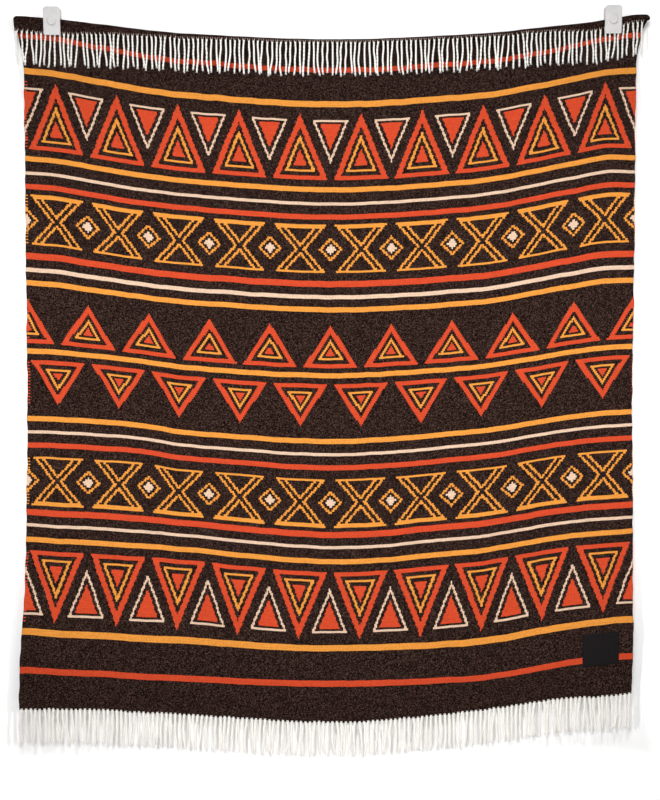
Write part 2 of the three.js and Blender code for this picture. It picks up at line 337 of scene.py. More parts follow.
# Bump of each finish: strength, depth
BUMPS = {"cloth": (0.5, 0.8), "yarn": (0.4, 0.3), "twill": (0.5, 0.3), "plastic": (0.15, 0.1)}

COLOURS = {
    "ground": (37, 24, 20),
    "heather": (72, 55, 49),
    "orange": (186, 66, 38),
    "yellow": (206, 134, 56),
    "cream": (203, 173, 149),
    "yarn": (246, 243, 237),
    "yarn root": (196, 166, 154),
    "patch": (14, 11, 12),
    "patch light": (26, 21, 23),
    "thread": (20, 17, 18),
    "plastic": (217, 215, 214),
    "plastic shade": (210, 208, 207),
    "wall": (255, 255, 255),
    "floor": (238, 238, 237),
}

# Stage: a pale wall just behind the clips, seen only from its front, and a pale floor well below
WALL_Y = 0.001
FLOOR_Z = -1.85
STAGE_HALF = 6.0
WALL_GLOW = 0.27
FLOOR_GLOW = 0.14
# Where the wall's own light sets in beside, below and above the blanket
GLOW_BESIDE = (0.645, 0.7)
GLOW_BELOW = (-1.505, -1.555)
GLOW_ABOVE = (-0.012, 0.012)

# Light: a weak surround, a pale backdrop, a soft cone from each side, a wide lamp high up and one behind
SURROUND = 0.1
BACKDROP = 0.8
SIDE_POWER = 285
SIDE_RADIUS = 0.15
SIDE_CONE = math.radians(42)
SIDE_AT = (2.2, -2.4, -0.45)
LAMP_POWER = 205
LAMP_SIZE = 1.6
LAMP_AT = (-0.6, -4.0, 4.2)
REAR_POWER = 90
REAR_AT = (1.2, 3.4, 0.8)
LIGHT_AIM = (0.0, 0.0, -0.75)

# Camera: level, straight at the middle of the picture, whose height is given at a depth in front of it
CAMERA_AT = (-0.0054, -3.0, -0.7904)
PICTURE_HEIGHT = 1.664
PICTURE_DEPTH = 2.985
SENSOR = 36


# Helpers
def linear(name):
    """A named colour as the linear values that shaders use."""
    shares = [level / 255 for level in COLOURS[name]]
    return (*[s / 12.92 if s <= 0.04045 else ((s + 0.055) / 1.055) ** 2.4 for s in shares], 1.0)


def lerp(start, end, share):
    return start + (end - start) * share


def smooth_step(x, low, high):
    share = np.clip((x - low) / (high - low), 0, 1)
    return share * share * (3 - 2 * share)


def smooth_through(xs, ys, x):
    """A smooth curve through the points (xs[i], ys[i]) that never swings past them. A y may be an array."""
    xs = np.asarray(xs, float)
    x = np.clip(np.asarray(x, float), xs[0], xs[-1])
    ys = np.stack([np.broadcast_to(y, x.shape) for y in ys])
    spans = np.diff(xs)
    slopes = np.diff(ys, axis=0) / spans.reshape(-1, *[1] * x.ndim)
    before, after = slopes[:-1], slopes[1:]
    agree = before * after > 0
    inner = np.where(agree, 2 * before * after / np.where(agree, before + after, 1), 0)
    tangents = np.concatenate([slopes[:1], inner, slopes[-1:]])
    at = np.clip(np.searchsorted(xs, x, side="right") - 1, 0, len(xs) - 2)

    def pick(table, row):
        return np.take_along_axis(table, row[None], axis=0)[0]

    span = spans[at]
    t = (x - xs[at]) / span
    start = pick(ys, at) * (1 + 2 * t) * (1 - t) ** 2 + span * pick(tangents, at) * t * (1 - t) ** 2
    end = pick(ys, at + 1) * t * t * (3 - 2 * t) + span * pick(tangents, at + 1) * t * t * (t - 1)
    return start + end


def from_table(rows, column, x):
    """A column of a table whose first column is the place, at the place x."""
    return smooth_through([row[0] for row in rows], [row[column] for row in rows], x)


def wander(t, spans, name):
    """A smooth wave about zero, of about unit height, mixed from waves of the given lengths."""
    phases = np.random.default_rng(SEEDS[name]).uniform(0, 2 * np.pi, len(spans))
    waves = [np.sin(2 * np.pi * t / span + phase) for span, phase in zip(spans, phases)]
    return sum(waves) / math.sqrt(len(spans))


# Shape of the cloth
def left_edge(down):
    return from_table(EDGES, 1, down) + EDGE_WANDER * wander(down, EDGE_WANDER_SPANS, "left edge")


def right_edge(down):
    return from_table(EDGES, 2, down) + EDGE_WANDER * wander(down, EDGE_WANDER_SPANS, "right edge")


def cloth_height(x, down):
    """Height of the cloth at x, a distance down below the top fold."""
    heights = [smooth_through(PLACES, line, x) for _, line in LINES]
    height = smooth_through([line_down for line_down, _ in LINES], heights, down)
    return height - np.maximum(down - HEM_DOWN, 0)


def ridges(x, down):
    total = np.zeros(np.broadcast(x, down).shape)
    for top_x, top_down, bottom_x, bottom_down, half_width, height in RIDGES:
        along = (down - top_down) / (bottom_down - top_down)
        off = (x - lerp(top_x, bottom_x, along)) / half_width
        fade = smooth_step(along, 0, RIDGE_FADE_IN) * (1 - smooth_step(along, RIDGE_FADE_OUT, 1))
        total = total + height * np.exp(-off * off) * fade
    return total


def unevenness(x, down):
    """Slight swells all over the cloth, ripples along its hem and a curl along its side edges."""
    swell = SWELL * wander(x, SWELL_ACROSS, "swell across") * wander(down, SWELL_DOWN, "swell down")
    hem = np.exp(-np.maximum(HEM_DOWN - down, 0) / HEM_RIPPLE_REACH)
    ripple = HEM_RIPPLE * wander(x, HEM_RIPPLE_SPANS, "hem ripple") * hem
    to_left = np.exp(-(((x - left_edge(down)) / EDGE_CURL_REACH) ** 2))
    to_right = np.exp(-(((x - right_edge(down)) / EDGE_CURL_REACH) ** 2))
    left_curl = to_left * (1 + wander(down, EDGE_CURL_SPANS, "left curl"))
    right_curl = to_right * (1 + wander(down, EDGE_CURL_SPANS, "right curl"))
    return swell + ripple + EDGE_CURL * (left_curl + right_curl)


def standoff(x, down):
    """How far the middle of the cloth's thickness stands off the wall."""
    clips = [smooth_step(np.abs(x - side * CLIP_SPACING / 2), *HELD_ACROSS) for side in (-1, 1)]
    held = (1 - np.minimum(*clips)) * (1 - smooth_step(down, *HELD_DOWN))
    return CLIPPED_STANDOFF + (1 - held) * (LOOSE_STANDOFF + ridges(x, down) + unevenness(x, down))


def roll_radius(x):
    return from_table(FLAP, 2, x) * (1 + ROLL_WANDER * wander(x, ROLL_WANDER_SPANS, "roll"))


def hem_down(x):
    return HEM_DOWN + EDGE_WANDER * wander(x, EDGE_WANDER_SPANS, "hem")


def flap_length(x):
    overlap = from_table(FLAP, 1, x) - GAP + EDGE_WANDER * wander(x, EDGE_WANDER_SPANS, "flap")
    return np.maximum(overlap - roll_radius(x), LEAST_FLAP)


def corner_drop(x):
    """How far the two ends of the fold are rounded off below its top."""
    inwards = np.minimum(x - EDGES[0][1], EDGES[0][2] - x)
    past = np.clip(1 - inwards / TOP_CORNER, 0, 1)
    return TOP_CORNER * (1 - np.sqrt(1 - past * past))


def hanging_point(x, down):
    """Points of the hanging part's middle surface."""
    height = cloth_height(x, down) - corner_drop(x) * (1 - smooth_step(down, *TOP_CORNER_FADE))
    return np.stack(np.broadcast_arrays(x, -standoff(x, down), height), -1)


def cloth_x(across, along):
    body = np.maximum(along - 2, 0) * HEM_DOWN
    flap = np.maximum(1 - along, 0)
    return lerp(lerp(left_edge(body), FLAP_LEFT, flap), lerp(right_edge(body), FLAP_RIGHT, flap), across)


def cloth_point(across, along):
    """Points of the cloth's middle surface. across runs from 0 at the left edge to 1 at the right one. along
    runs from 0 at the end of the flap through 1 and 2, where the roll starts and ends, to 3 at the hem."""
    across, along = np.broadcast_arrays(across, along)
    x = cloth_x(across, along)
    roll = roll_radius(x)
    body = hanging_point(x, lerp(roll, hem_down(x), np.maximum(along - 2, 0)))
    turn = np.pi * (2 - np.clip(along, 1, 2))
    flap = np.maximum(1 - along, 0)
    y = -standoff(x, roll) - roll + roll * np.cos(turn)
    z = cloth_height(x, roll) - corner_drop(x) * (1 - flap) + roll * np.sin(turn) - flap_length(x) * flap
    return np.where(along[..., None] >= 2, body, np.stack([x, y, z], -1))


def unit(vectors):
    return vectors / np.linalg.norm(vectors, axis=-1, keepdims=True)


def cloth_normal(across, along, step=1e-3):
    """The cloth's normal towards its back, which faces the wall on the hanging part."""
    left, right = np.maximum(across - step, 0), np.minimum(across + step, 1)
    upper, lower = np.maximum(along - step, 0), np.minimum(along + step, 3)
    to_right = cloth_point(right, along) - cloth_point(left, along)
    to_hem = cloth_point(across, lower) - cloth_point(across, upper)
    return unit(np.cross(to_right, to_hem))


def hanging_normal(x, down, step=1.0):
    to_right = hanging_point(x + step, down) - hanging_point(x - step, down)
    to_hem = hanging_point(x, down + step) - hanging_point(x, down - step)
    return unit(np.cross(to_right, to_hem))


def woven_place(across, along):
    """Distances across and along the flat cloth, from its left edge and from the end of the flap."""
    across, along = np.broadcast_arrays(across, along)
    x = cloth_x(across, along)
    roll = roll_radius(x)
    flap = flap_length(x)
    rolled = np.pi * roll + from_table(FLAP, 3, x)
    folded = flap + rolled
    on_top = flap * np.clip(along, 0, 1) + rolled * np.clip(along - 1, 0, 1)
    down = lerp(roll, hem_down(x), np.maximum(along - 2, 0))
    upper = lerp(folded, FIRST_DOWN + HEM_WOVEN, (down - roll) / (FIRST_DOWN - roll))
    hanging = np.where(down < FIRST_DOWN, upper, down + HEM_WOVEN)
    return across * CLOTH_WIDTH, np.where(along < 2, on_top, hanging)


# Meshes
class Shape:
    """Points, faces and map corners of one mesh, gathered bit by bit."""

    def __init__(self):
        self.points = []
        self.faces = []
        self.corners = []
        self.count = 0

    def add_points(self, points):
        """Adds points and returns their numbers, in the same layout."""
        index = self.count + np.arange(points[..., 0].size).reshape(points.shape[:-1])
        self.points.append(points.reshape(-1, 3))
        self.count += index.size
        return index

    def add_quads(self, index, u, v, flip=False):
        """Adds the quads of a grid of point numbers, with the grids u and v as their places on the map."""
        u, v = np.broadcast_to(u, index.shape), np.broadcast_to(v, index.shape)
        order = [(0, 0), (1, 0), (1, 1), (0, 1)]
        if flip:
            order.reverse()
        rows, columns = index.shape[-2] - 1, index.shape[-1] - 1
        cut = [(..., slice(r, r + rows), slice(c, c + columns)) for r, c in order]
        self.faces += np.stack([index[c] for c in cut], -1).reshape(-1, 4).tolist()
        self.corners.append(np.stack([np.stack([u[c], v[c]], -1) for c in cut], -2).reshape(-1, 2))

    def add_caps(self, rings, u, v):
        """Adds one many-sided face for each row of point numbers."""
        self.faces += rings.tolist()
        corners = np.stack([np.broadcast_to(u, rings.shape), np.broadcast_to(v, rings.shape)], -1)
        self.corners.append(corners.reshape(-1, 2))

    def piece(self, name, finish, slot):
        """Makes the object, which rides on the part's only body."""
        mesh = bpy.data.meshes.new(name)
        mesh.from_pydata((np.concatenate(self.points) * MM).tolist(), [], self.faces)
        mesh.shade_smooth()
        bake = mesh.uv_layers.new(name="OFBake")
        bake.data.foreach_set("uv", np.concatenate(self.corners).astype(np.float32).ravel())
        mesh.materials.append(finish)
        made = bpy.data.objects.new(name, mesh)
        bpy.context.scene.collection.objects.link(made)
        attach(made, "root")
        return made


def store(piece, name, values):
    """Keeps a vector or a number for each point of a piece, for its material to read."""
    values = np.asarray(values, np.float32)
    kind, field = ("FLOAT_VECTOR", "vector") if values.ndim == 2 else ("FLOAT", "value")
    attribute = piece.data.attributes.new(name, kind, "POINT")
    attribute.data.foreach_set(field, values.ravel())


# Finishes
class Finish:
    """One material and short ways to add nodes to it."""

    def __init__(self, name, **settings):
        self.material = bpy.data.materials.new(name)
        self.material.use_nodes = True
        self.tree = self.material.node_tree
        self.surface = self.tree.nodes["Principled BSDF"]
        for key, value in settings.items():
            self.surface.inputs[key.replace("_", " ")].default_value = value

    def put(self, value, socket):
        if isinstance(value, bpy.types.NodeSocket):
            self.tree.links.new(value, socket)
        else:
            socket.default_value = value

    def node(self, kind, inputs=None, **settings):
        node = self.tree.nodes.new("ShaderNode" + kind)
        for key, value in settings.items():
            setattr(node, key, value)
        for key, value in (inputs or {}).items():
            self.put(value, node.inputs[key])
        return node

    def math(self, operation, *values):
        node = self.node("Math", operation=operation)
        for socket, value in zip(node.inputs, values):
            self.put(value, socket)
        return node.outputs[0]

    def most(self, masks):
        """Where any of the masks is 1."""
        result = masks[0]
        for mask in masks[1:]:
            result = self.math("MAXIMUM", result, mask)
        return result

    def all_of(self, *masks):
        result = masks[0]
        for mask in masks[1:]:
            result = self.math("MULTIPLY", result, mask)
        return result

    def ramp(self, value, low, high):
        """From 0 at low to 1 at high, smoothly."""
        names = {"Value": value, "From Min": low, "From Max": high}
        return self.node("MapRange", names, interpolation_type="SMOOTHSTEP").outputs[0]

    def mix(self, share, first, second):
        """A blend of two colours, each a name or an output."""
        node = self.node("Mix", data_type="RGBA")
        factor, colour_a, colour_b = node.inputs[0], node.inputs[6], node.inputs[7]
        self.put(share, factor)
        self.put(linear(first) if isinstance(first, str) else first, colour_a)
        self.put(linear(second) if isinstance(second, str) else second, colour_b)
        return node.outputs[2]

    def level(self, first, second, shares):
        """A brightness: a share of each of two values, and a constant."""
        first_share, second_share, constant = shares
        rest = self.math("MULTIPLY_ADD", second, second_share, constant)
        return self.math("MULTIPLY_ADD", first, first_share, rest)

    def brightened(self, colour, value):
        return self.node("HueSaturation", {"Value": value, "Color": colour}).outputs[0]

    def stored(self, name, output="Vector"):
        return self.node("Attribute", attribute_name=name).outputs[output]

    def noise(self, vector, scale, detail=NOISE_DETAIL):
        """Noise over a vector, after a scale for each of its axes."""
        scaled = self.node("VectorMath", operation="MULTIPLY")
        self.put(vector, scaled.inputs[0])
        self.put(scale, scaled.inputs[1])
        inputs = {"Vector": scaled.outputs[0], "Scale": 1.0, "Detail": detail}
        return self.node("TexNoise", inputs).outputs[0]

    def speckle(self, vector):
        return self.node("TexWhiteNoise", {"Vector": vector}).outputs["Value"]

    def bump(self, height, strength, distance):
        inputs = {"Height": height, "Strength": strength, "Distance": distance * MM}
        self.put(self.node("Bump", inputs).outputs[0], self.surface.inputs["Normal"])


def nested(f, across, up, row, lines, upside_down=False):
    """Masks by colour of triangles in triangles, with their middle at across = 0. They stand on up = 0, or
    have their tips there if they are upside down."""
    _, height, half = row
    slope = half / height
    edge = f.math("MULTIPLY_ADD", up, slope, 0.0) if upside_down else f.math("MULTIPLY_ADD", up, -slope, half)
    from_side = f.math("MULTIPLY", f.math("SUBTRACT", edge, across), height / math.hypot(height, half))
    from_base = f.math("SUBTRACT", height, up) if upside_down else up
    inside = f.math("MINIMUM", from_side, from_base)
    masks = []
    for colour, start, end in lines:
        masks.append((colour, f.math("COMPARE", inside, (start + end) / 2, (end - start) / 2)))
    return masks


def woven_pattern(f, across, along, back):
    """Masks of the orange, yellow and cream yarns. On the back, ground and motif change places."""
    distance = f.math("ABSOLUTE", f.math("SUBTRACT", along, PATTERN_MIDDLE))
    masks = {"orange": [], "yellow": [], "cream": []}
    for colour, place, half in STRIPES:
        masks[colour].append(f.math("COMPARE", distance, place, half))

    stepped = f.math("SNAP", distance, PATTERN_STEP)
    off_motif = f.math("PINGPONG", across, REPEAT / 2)
    between = f.math("SUBTRACT", REPEAT / 2, off_motif)
    lower_half = f.math("GREATER_THAN", along, PATTERN_MIDDLE)
    shifted = f.math("PINGPONG", f.math("MULTIPLY_ADD", lower_half, REPEAT / 2, across), REPEAT / 2)
    bands = []
    for row, places, lines, upside_down in [
        (OUTER_TRIANGLES, between, OUTER_LINES, False),
        (OUTER_TRIANGLES, off_motif, TOOTH_LINES, True),
        (INNER_TRIANGLES, shifted, INNER_LINES, False),
    ]:
        up = f.math("SUBTRACT", stepped, row[0])
        band = f.math("COMPARE", up, row[1] / 2, row[1] / 2)
        bands.append(band)
        for colour, line in nested(f, places, up, row, lines, upside_down):
            masks[colour].append(f.all_of(band, line))

    off_glass = f.math("ABSOLUTE", f.math("SUBTRACT", stepped, GLASS_DISTANCE))
    glass = f.math("LESS_THAN", off_glass, GLASS_HALF)
    glass_half = f.math("MULTIPLY_ADD", off_glass, GLASS_SLOPE, GLASS_WAIST)
    inwards = f.math("SUBTRACT", glass_half, between)
    side = f.math("COMPARE", inwards, 0.0, GLASS_LINE)
    nest = f.math("COMPARE", inwards, GLASS_NEST, GLASS_LINE)
    cap = f.all_of(
        f.math("GREATER_THAN", off_glass, GLASS_HALF - 2 * GLASS_LINE),
        f.math("GREATER_THAN", inwards, 0.0),
    )
    masks["yellow"].append(f.all_of(glass, f.most([side, nest, cap])))
    from_dot = f.math("ADD", off_motif, off_glass)
    masks["cream"].append(f.math("LESS_THAN", from_dot, DOT_REACH))
    masks["yellow"].append(f.math("COMPARE", from_dot, RING_REACH, GLASS_LINE))

    off_middle = f.math("ABSOLUTE", f.math("SUBTRACT", across, CLOTH_WIDTH / 2))
    from_edge = f.math("SUBTRACT", CLOTH_WIDTH / 2, off_middle)
    tick = f.math("LESS_THAN", f.math("FLOORED_MODULO", along, SELVEDGE_TICK * CELL_ALONG), CELL_ALONG)
    selvedge = f.all_of(f.math("LESS_THAN", from_edge, SELVEDGE), tick)
    turned = f.most(bands)
    masks["orange"].append(f.all_of(selvedge, turned))
    masks["yellow"].append(f.all_of(selvedge, glass))

    front = {colour: f.most(parts) for colour, parts in masks.items()}
    plain = f.math("SUBTRACT", 1.0, f.most(list(front.values())))
    swapped = {"orange": f.all_of(plain, turned), "yellow": f.all_of(plain, glass), "cream": 0.0}
    facing = f.math("SUBTRACT", 1.0, back)
    seen = {}
    for colour in front:
        shown = f.all_of(front[colour], facing)
        seen[colour] = f.math("ADD", shown, f.all_of(back, swapped[colour]))
    return seen


def cloth_finish():
    f = Finish("woven_cloth", Roughness=0.95, Specular_IOR_Level=0.03)
    place = f.stored("woven_place")
    split = f.node("SeparateXYZ", {"Vector": place})
    across, along, side = split.outputs
    waver = f.math("SUBTRACT", f.noise(place, WAVER_SCALE), 0.5)
    straight = f.math("MULTIPLY_ADD", waver, WAVER, along)
    cell_across = f.math("SNAP", across, CELL_ACROSS)
    cell_along = f.math("SNAP", straight, CELL_ALONG)
    back = f.math("GREATER_THAN", side, 0.5)
    masks = woven_pattern(f, cell_across, cell_along, back)

    fleck_across = f.math("SNAP", across, CELL_ACROSS * FLECK)
    fleck_along = f.math("SNAP", straight, CELL_ALONG * FLECK)
    fleck = f.speckle(f.node("CombineXYZ", {"X": fleck_across, "Y": fleck_along, "Z": back}).outputs[0])
    grain = f.noise(place, GRAIN_SCALE)
    light_fleck = f.ramp(f.math("MULTIPLY_ADD", grain, HEATHER_GRAIN, fleck), *HEATHER_RANGE)
    ground = f.mix(f.math("MULTIPLY", light_fleck, HEATHER_SHARE), "ground", "heather")
    colour = f.brightened(ground, f.level(fleck, grain, GROUND_LEVEL))
    streak = f.noise(place, STREAK_SCALE)
    dyed_level = f.level(fleck, streak, DYED_LEVEL)
    for name in ("orange", "yellow", "cream"):
        dyed = f.brightened(linear(name), dyed_level)
        colour = f.mix(masks[name], colour, dyed)
    f.put(colour, f.surface.inputs["Base Color"])

    warp = f.math("SINE", f.math("MULTIPLY", across, 2 * math.pi / CELL_ACROSS))
    weft = f.math("SINE", f.math("MULTIPLY", straight, 2 * math.pi / CELL_ALONG))
    woven = f.math("MULTIPLY", warp, weft)
    relief = f.math("MULTIPLY_ADD", woven, WEAVE_RELIEF, f.math("MULTIPLY", grain, GRAIN_RELIEF))
    f.bump(relief, *BUMPS["cloth"])
    return f.material


def yarn_finish():
    f = Finish("fringe_yarn", Roughness=0.9, Specular_IOR_Level=0.1, Sheen_Weight=0.1, Sheen_Roughness=0.5)
    tint = f.stored("root_tint", "Fac")
    place = f.node("TexCoord").outputs["Object"]
    fibre = f.noise(place, FIBRE_SCALE, FINE_DETAIL)
    colour = f.mix(tint, "yarn", "yarn root")
    colour = f.brightened(colour, f.math("MULTIPLY_ADD", fibre, *FIBRE_LEVEL))
    f.put(colour, f.surface.inputs["Base Color"])
    f.bump(fibre, *BUMPS["yarn"])
    return f.material


def twill_finish(name, dark, light):
    f = Finish(name, Roughness=0.8, Specular_IOR_Level=0.12)
    place = f.node("TexCoord").outputs["Object"]
    split = f.node("SeparateXYZ", {"Vector": place})
    slant = f.math("ADD", split.outputs["X"], f.math("MULTIPLY", split.outputs["Z"], RIB_SLOPE))
    rib = f.math("SINE", f.math("MULTIPLY", slant, 2 * math.pi / (RIB_PITCH * MM)))
    grain = f.noise(place, TWILL_SCALE, FINE_DETAIL)
    shade = f.math("MULTIPLY_ADD", rib, RIB_SHARE, f.math("MULTIPLY", grain, TWILL_SHARE))
    f.put(f.mix(shade, dark, light), f.surface.inputs["Base Color"])
    f.bump(shade, *BUMPS["twill"])
    return f.material


def plastic_finish():
    f = Finish("moulded_plastic", Specular_IOR_Level=0.3)
    place = f.node("TexCoord").outputs["Object"]
    cloud = f.noise(place, CLOUD_SCALE, FINE_DETAIL)
    grain = f.noise(place, MOULD_SCALE)
    colour = f.mix(f.ramp(cloud, *CLOUD_RANGE), "plastic", "plastic shade")
    f.put(colour, f.surface.inputs["Base Color"])
    f.put(f.math("MULTIPLY_ADD", grain, *PLASTIC_ROUGHNESS), f.surface.inputs["Roughness"])
    f.bump(grain, *BUMPS["plastic"])
    return f.material


# Pieces
def row_places():
    flap = np.linspace(0, 1, FLAP_ROWS + 1)[:-1]
    roll = np.linspace(1, 2, ROLL_ROWS + 1)[:-1]
    return np.concatenate([flap, roll, np.linspace(2, 3, BODY_ROWS + 1)])


def column_places():
    edge = np.array(EDGE_COLUMNS) / CLOTH_WIDTH
    inner = np.linspace(edge[-1], 1 - edge[-1], CLOTH_COLUMNS + 1)
    return np.concatenate([edge[:-1], inner, 1 - edge[-2::-1]])


def border(grid):
    """The outermost points of a grid, in order round it and back to the first."""
    round_it = [grid[:-1, 0], grid[-1, :-1], grid[:0:-1, -1], grid[0, :0:-1], grid[:1, 0]]
    return np.concatenate(round_it)


def blanket_piece(finish):
    across, along = np.meshgrid(column_places(), row_places())
    middle = cloth_point(across, along)
    inner = np.ones(across.shape)
    inner[[0, -1], :] = RIM_SHARE
    inner[:, [0, -1]] = RIM_SHARE
    half = (inner * CLOTH_THICKNESS / 2)[..., None] * cloth_normal(across, along)

    shape = Shape()
    front = shape.add_points(middle - half)
    back = shape.add_points(middle + half)
    rows, columns = across.shape
    inwards = middle[1:-1, 1:-1]
    inwards = np.concatenate([inwards[:1], inwards, inwards[-1:]])
    inwards = np.concatenate([inwards[:, :1], inwards, inwards[:, -1:]], 1)
    edge = border(middle)[:-1]
    rim = shape.add_points(edge + RIM_BULGE * unit(edge - border(inwards)[:-1]))

    share_u, share_v = np.linspace(0, 1, columns), np.linspace(0, 1, rows)[:, None]
    shape.add_quads(front, MAP_FRONT * share_u, share_v)
    shape.add_quads(back, 1 - MAP_BACK * share_u, share_v, flip=True)
    round_rim = np.append(rim, rim[0])
    strip = np.stack([border(front), round_rim, border(back)])
    shape.add_quads(strip, np.array(MAP_RIM)[:, None], np.linspace(0, 1, strip.shape[1]))
    made = shape.piece("blanket_cloth", finish, "cloth")

    woven = np.stack(woven_place(across, along), -1)
    woven_rim = border(woven)[:-1]
    sides = [(woven, 0.0), (woven, 1.0), (woven_rim, 0.0)]
    flat = [np.insert(w.reshape(-1, 2), 2, side, axis=1) for w, side in sides]
    store(made, "woven_place", np.concatenate(flat))
    return made


def scatter(index, step):
    """An even spread of values from -1 to 1 without a visible order."""
    return 2 * ((index + 1) * step % 1) - 1


def rest_on_cloth(x, z):
    """The depth at which a strand that lies against the hanging cloth has its middle."""
    down = cloth_height(x, 0 * x) - z
    return -standoff(x, down) - CLOTH_THICKNESS / 2 - PLY_RADIUS - PLY_OFFSET


def spaced(x, least):
    """Places along a row, moved apart where they lie closer than the least distance."""
    steps = least * np.arange(len(x))[:, None]
    rightwards = np.maximum.accumulate(x - steps) + steps
    leftwards = np.minimum.accumulate((x - steps)[::-1])[::-1] + steps
    return (rightwards + leftwards) / 2


def strand_lines(along_end, seed, length, above):
    """Middle lines of a fringe's strands, each from a root on the front of the cloth to its tip."""
    index = np.arange(STRANDS)
    across = (index + 0.5) / STRANDS
    root = cloth_point(across, np.full(STRANDS, float(along_end)))
    t = np.linspace(0, 1, STRAND_RINGS + 1)
    rng = np.random.default_rng(seed)
    lean = STRAND_LEAN * rng.normal(size=(STRANDS, 1)).clip(-STRAND_SPREAD, STRAND_SPREAD)
    bend = STRAND_BEND * rng.normal(size=(STRANDS, 1)).clip(-STRAND_SPREAD, STRAND_SPREAD)
    phase = rng.uniform(0, 2 * np.pi, (2, STRANDS, 1))
    turns = rng.uniform(*KINK_TURNS, (STRANDS, 1))
    kink, sway = STRAND_KINK * np.sin(2 * np.pi * turns * t + phase) * smooth_step(t, 0, KINK_START)
    length = length + STRAND_LENGTH_SPREAD * scatter(index, GOLDEN)[:, None]
    x = spaced(root[:, :1] + lean * t**LEAN_POWER + bend * 4 * t * (1 - t) + kink, STRAND_SPACE)
    y = root[:, 1:2] + sway - CLOTH_THICKNESS / 2 * (1 - smooth_step(t, 0, ROOT_SHARE))
    if along_end == 0:
        to_fold = (flap_length(root[:, :1]) + roll_radius(root[:, :1])) * ROOT_REACH
        above = np.minimum(above, to_fold)
    z = root[:, 2:] + above - (length + above) * t
    if along_end == 0:
        y = np.minimum(y, rest_on_cloth(x, z))
    return np.stack([x, y, z], -1)


def tubes(shape, lines, radii, sides):
    """Adds a closed tube along each line: lines is tubes by rings by 3, and radii tubes by rings."""
    along = unit(np.gradient(lines, axis=1))
    side = unit(np.cross(along, (0, 1, 0)))
    front = np.cross(along, side)
    turn = 2 * np.pi * np.arange(sides) / sides
    ring = side[:, :, None] * np.cos(turn)[:, None] + front[:, :, None] * np.sin(turn)[:, None]
    points = lines[:, :, None] + radii[:, :, None, None] * ring
    index = shape.add_points(points)
    count, rings = radii.shape
    closed = np.concatenate([index, index[:, :, :1]], 2)
    u = (np.arange(count)[:, None, None] + np.linspace(*TUBE_MAP, sides + 1)) / count
    v = np.linspace(0, 1, rings)[:, None]
    shape.add_quads(closed, u, v, flip=True)
    shape.add_caps(index[:, 0], 0, 0)
    shape.add_caps(index[:, -1, ::-1], 0, 1)


def fringe_piece(end, finish):
    along_end, seed, length, thickness, above, root_scale, root_spread, tint = FRINGES[end]
    lines = strand_lines(along_end, seed, length, above)
    t = np.linspace(0, 1, STRAND_RINGS + 1)
    root = 1 - smooth_step(t, 0, ROOT_SHARE)
    tip = smooth_step(t, 1 - TIP_SHARE, 1)
    offset = PLY_OFFSET * thickness * (1 + (root_spread - 1) * root + (TIP_SPREAD - 1) * tip)
    radius = PLY_RADIUS * thickness * (1 - (1 - root_scale) * root) * (1 - (1 - TIP_SCALE) * tip)
    tightness = np.random.default_rng(seed + 1).uniform(*TWIST_RANGE, (STRANDS, 1))
    twist = 2 * np.pi * tightness * length / TWIST_LENGTH * np.maximum(t - ROOT_SHARE, 0)
    plies = []
    for ply in range(PLIES):
        turn = twist + 2 * np.pi * ply / PLIES
        around = np.stack([np.cos(turn), np.sin(turn), 0 * turn], -1)
        plies.append(lines + offset[:, None] * around)
    shape = Shape()
    every = np.concatenate(plies)
    tubes(shape, every, np.broadcast_to(radius, every.shape[:2]), PLY_SIDES)
    made = shape.piece(end + "_fringe", finish, "fringe")
    tinted = np.broadcast_to(tint * root[None, :, None], (len(every), len(t), PLY_SIDES))
    store(made, "root_tint", tinted.ravel())
    return made


def patch_piece(finish):
    share = np.linspace(0, 1, PATCH_CELLS + 1)
    u, v = np.meshgrid(share, share)
    x = PATCH_X + (u - 0.5) * PATCH_WIDTH
    down = PATCH_DOWN + (v - 0.5) * PATCH_HEIGHT
    surface, normal = hanging_point(x, down), hanging_normal(x, down)
    to_edge = np.minimum(np.minimum(u, 1 - u) * PATCH_WIDTH, np.minimum(v, 1 - v) * PATCH_HEIGHT)
    bulge = np.sqrt(np.clip(to_edge / PATCH_EDGE, 0, 1))
    seam = SEAM_DEPTH * np.exp(-(((to_edge - STITCH_INSET) / SEAM_WIDTH) ** 2))
    raised = CLOTH_THICKNESS / 2 + lerp(PATCH_RIM, PATCH_THICKNESS, bulge) - seam
    shape = Shape()
    front = shape.add_points(surface - raised[..., None] * normal)
    back = shape.add_points(surface - (CLOTH_THICKNESS / 2 - PATCH_SUNK) * normal)
    shape.add_quads(front, PATCH_MAP * u, v)
    shape.add_quads(back, 1 - PATCH_MAP + PATCH_MAP * u, v, flip=True)
    strip = np.stack([border(front), border(back)])
    shape.add_quads(strip, np.array(PATCH_MAP_RIM)[:, None], np.linspace(0, 1, strip.shape[1]))
    return shape.piece("patch_cloth", finish, "patch")


